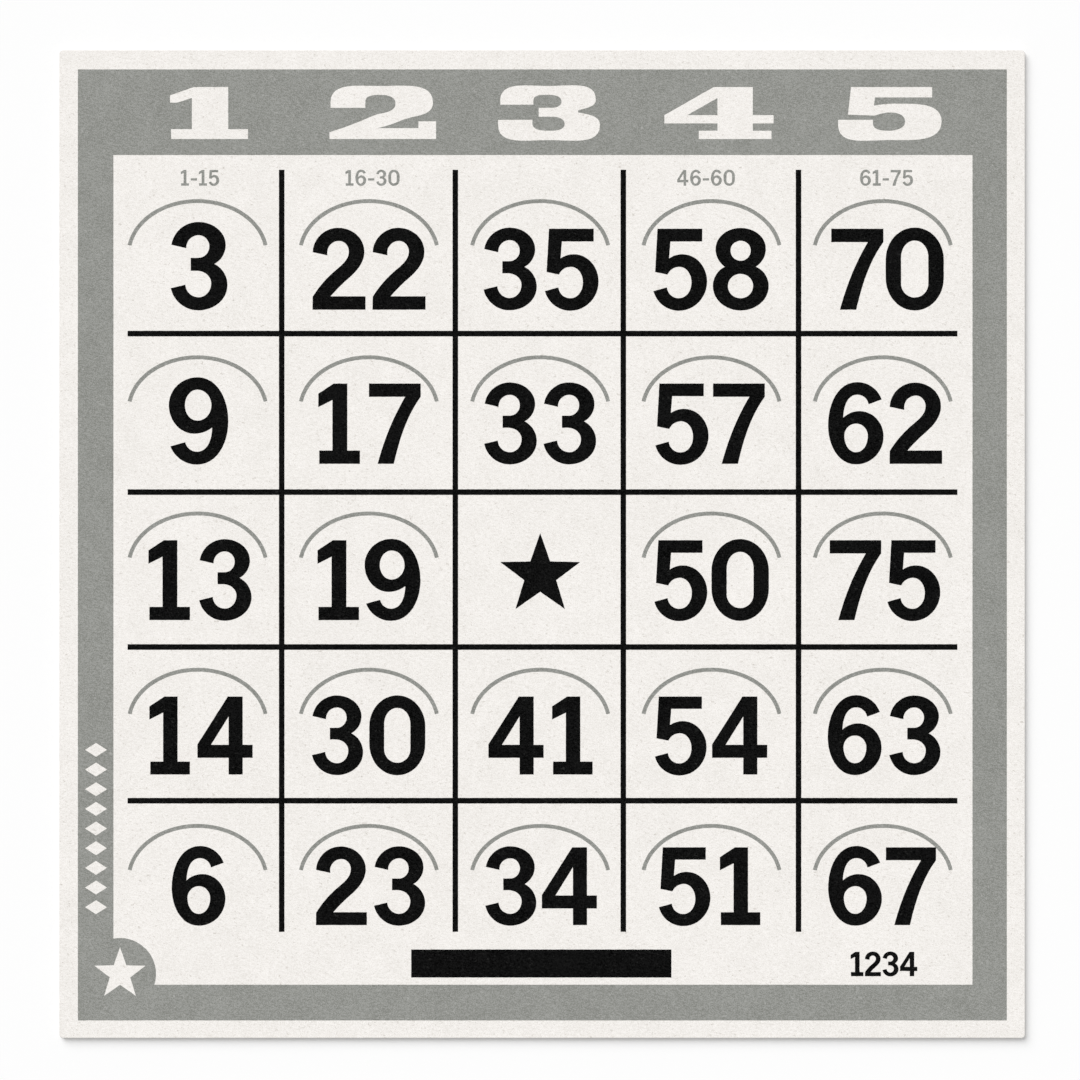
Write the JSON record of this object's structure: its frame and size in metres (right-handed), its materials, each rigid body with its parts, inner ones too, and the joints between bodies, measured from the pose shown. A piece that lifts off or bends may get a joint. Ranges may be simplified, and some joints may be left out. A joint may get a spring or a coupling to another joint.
{
  "type": "push-out bingo card",
  "caption": "Flat square card of thick board with half-moon tabs that fold out along their straight edges over a printed number grid.",
  "frame": {"origin": "middle of the card's outline, on the plane of its back face", "axes": "+X to the right of the printed face, +Y to the head of the card, +Z out of the printed face"},
  "size_m": [0.14, 0.1432, 0.0008],
  "materials": {
    "card_board": "uncoated matt white paperboard",
    "push_tab": "uncoated matt white paperboard",
    "black_ink": "matt black print",
    "grey_ink": "matt grey print"
  },
  "bodies": {
    "card": {"card_board": "card_board"},
    "push_tab_r1_c1": {"push_tab_r1_c1": "push_tab"},
    "push_tab_r1_c2": {"push_tab_r1_c2": "push_tab"},
    "push_tab_r1_c3": {"push_tab_r1_c3": "push_tab"},
    "push_tab_r1_c4": {"push_tab_r1_c4": "push_tab"},
    "push_tab_r1_c5": {"push_tab_r1_c5": "push_tab"},
    "push_tab_r2_c1": {"push_tab_r2_c1": "push_tab"},
    "push_tab_r2_c2": {"push_tab_r2_c2": "push_tab"},
    "push_tab_r2_c3": {"push_tab_r2_c3": "push_tab"},
    "push_tab_r2_c4": {"push_tab_r2_c4": "push_tab"},
    "push_tab_r2_c5": {"push_tab_r2_c5": "push_tab"},
    "push_tab_r3_c1": {"push_tab_r3_c1": "push_tab"},
    "push_tab_r3_c2": {"push_tab_r3_c2": "push_tab"},
    "push_tab_r3_c4": {"push_tab_r3_c4": "push_tab"},
    "push_tab_r3_c5": {"push_tab_r3_c5": "push_tab"},
    "push_tab_r4_c1": {"push_tab_r4_c1": "push_tab"},
    "push_tab_r4_c2": {"push_tab_r4_c2": "push_tab"},
    "push_tab_r4_c3": {"push_tab_r4_c3": "push_tab"},
    "push_tab_r4_c4": {"push_tab_r4_c4": "push_tab"},
    "push_tab_r4_c5": {"push_tab_r4_c5": "push_tab"},
    "push_tab_r5_c1": {"push_tab_r5_c1": "push_tab"},
    "push_tab_r5_c2": {"push_tab_r5_c2": "push_tab"},
    "push_tab_r5_c3": {"push_tab_r5_c3": "push_tab"},
    "push_tab_r5_c4": {"push_tab_r5_c4": "push_tab"},
    "push_tab_r5_c5": {"push_tab_r5_c5": "push_tab"}
  },
  "joints": [
    {"name": "fold_r1_c1", "type": "hinge", "parent": "card", "child": "push_tab_r1_c1", "pos_m": [-0.04998, 0.04336, 0.0008], "axis": [1, 0, 0], "range_deg": [0, 170]},
    {"name": "fold_r1_c2", "type": "hinge", "parent": "card", "child": "push_tab_r1_c2", "pos_m": [-0.02514, 0.04336, 0.0008], "axis": [1, 0, 0], "range_deg": [0, 170]},
    {"name": "fold_r1_c3", "type": "hinge", "parent": "card", "child": "push_tab_r1_c3", "pos_m": [-0.0003, 0.04336, 0.0008], "axis": [1, 0, 0], "range_deg": [0, 170]},
    {"name": "fold_r1_c4", "type": "hinge", "parent": "card", "child": "push_tab_r1_c4", "pos_m": [0.02454, 0.04336, 0.0008], "axis": [1, 0, 0], "range_deg": [0, 170]},
    {"name": "fold_r1_c5", "type": "hinge", "parent": "card", "child": "push_tab_r1_c5", "pos_m": [0.04938, 0.04336, 0.0008], "axis": [1, 0, 0], "range_deg": [0, 170]},
    {"name": "fold_r2_c1", "type": "hinge", "parent": "card", "child": "push_tab_r2_c1", "pos_m": [-0.04998, 0.02071, 0.0008], "axis": [1, 0, 0], "range_deg": [0, 170]},
    {"name": "fold_r2_c2", "type": "hinge", "parent": "card", "child": "push_tab_r2_c2", "pos_m": [-0.02514, 0.02071, 0.0008], "axis": [1, 0, 0], "range_deg": [0, 170]},
    {"name": "fold_r2_c3", "type": "hinge", "parent": "card", "child": "push_tab_r2_c3", "pos_m": [-0.0003, 0.02071, 0.0008], "axis": [1, 0, 0], "range_deg": [0, 170]},
    {"name": "fold_r2_c4", "type": "hinge", "parent": "card", "child": "push_tab_r2_c4", "pos_m": [0.02454, 0.02071, 0.0008], "axis": [1, 0, 0], "range_deg": [0, 170]},
    {"name": "fold_r2_c5", "type": "hinge", "parent": "card", "child": "push_tab_r2_c5", "pos_m": [0.04938, 0.02071, 0.0008], "axis": [1, 0, 0], "range_deg": [0, 170]},
    {"name": "fold_r3_c1", "type": "hinge", "parent": "card", "child": "push_tab_r3_c1", "pos_m": [-0.04998, -0.00194, 0.0008], "axis": [1, 0, 0], "range_deg": [0, 170]},
    {"name": "fold_r3_c2", "type": "hinge", "parent": "card", "child": "push_tab_r3_c2", "pos_m": [-0.02514, -0.00194, 0.0008], "axis": [1, 0, 0], "range_deg": [0, 170]},
    {"name": "fold_r3_c4", "type": "hinge", "parent": "card", "child": "push_tab_r3_c4", "pos_m": [0.02454, -0.00194, 0.0008], "axis": [1, 0, 0], "range_deg": [0, 170]},
    {"name": "fold_r3_c5", "type": "hinge", "parent": "card", "child": "push_tab_r3_c5", "pos_m": [0.04938, -0.00194, 0.0008], "axis": [1, 0, 0], "range_deg": [0, 170]},
    {"name": "fold_r4_c1", "type": "hinge", "parent": "card", "child": "push_tab_r4_c1", "pos_m": [-0.04998, -0.02459, 0.0008], "axis": [1, 0, 0], "range_deg": [0, 170]},
    {"name": "fold_r4_c2", "type": "hinge", "parent": "card", "child": "push_tab_r4_c2", "pos_m": [-0.02514, -0.02459, 0.0008], "axis": [1, 0, 0], "range_deg": [0, 170]},
    {"name": "fold_r4_c3", "type": "hinge", "parent": "card", "child": "push_tab_r4_c3", "pos_m": [-0.0003, -0.02459, 0.0008], "axis": [1, 0, 0], "range_deg": [0, 170]},
    {"name": "fold_r4_c4", "type": "hinge", "parent": "card", "child": "push_tab_r4_c4", "pos_m": [0.02454, -0.02459, 0.0008], "axis": [1, 0, 0], "range_deg": [0, 170]},
    {"name": "fold_r4_c5", "type": "hinge", "parent": "card", "child": "push_tab_r4_c5", "pos_m": [0.04938, -0.02459, 0.0008], "axis": [1, 0, 0], "range_deg": [0, 170]},
    {"name": "fold_r5_c1", "type": "hinge", "parent": "card", "child": "push_tab_r5_c1", "pos_m": [-0.04998, -0.04724, 0.0008], "axis": [1, 0, 0], "range_deg": [0, 170]},
    {"name": "fold_r5_c2", "type": "hinge", "parent": "card", "child": "push_tab_r5_c2", "pos_m": [-0.02514, -0.04724, 0.0008], "axis": [1, 0, 0], "range_deg": [0, 170]},
    {"name": "fold_r5_c3", "type": "hinge", "parent": "card", "child": "push_tab_r5_c3", "pos_m": [-0.0003, -0.04724, 0.0008], "axis": [1, 0, 0], "range_deg": [0, 170]},
    {"name": "fold_r5_c4", "type": "hinge", "parent": "card", "child": "push_tab_r5_c4", "pos_m": [0.02454, -0.04724, 0.0008], "axis": [1, 0, 0], "range_deg": [0, 170]},
    {"name": "fold_r5_c5", "type": "hinge", "parent": "card", "child": "push_tab_r5_c5", "pos_m": [0.04938, -0.04724, 0.0008], "axis": [1, 0, 0], "range_deg": [0, 170]}
  ]
}
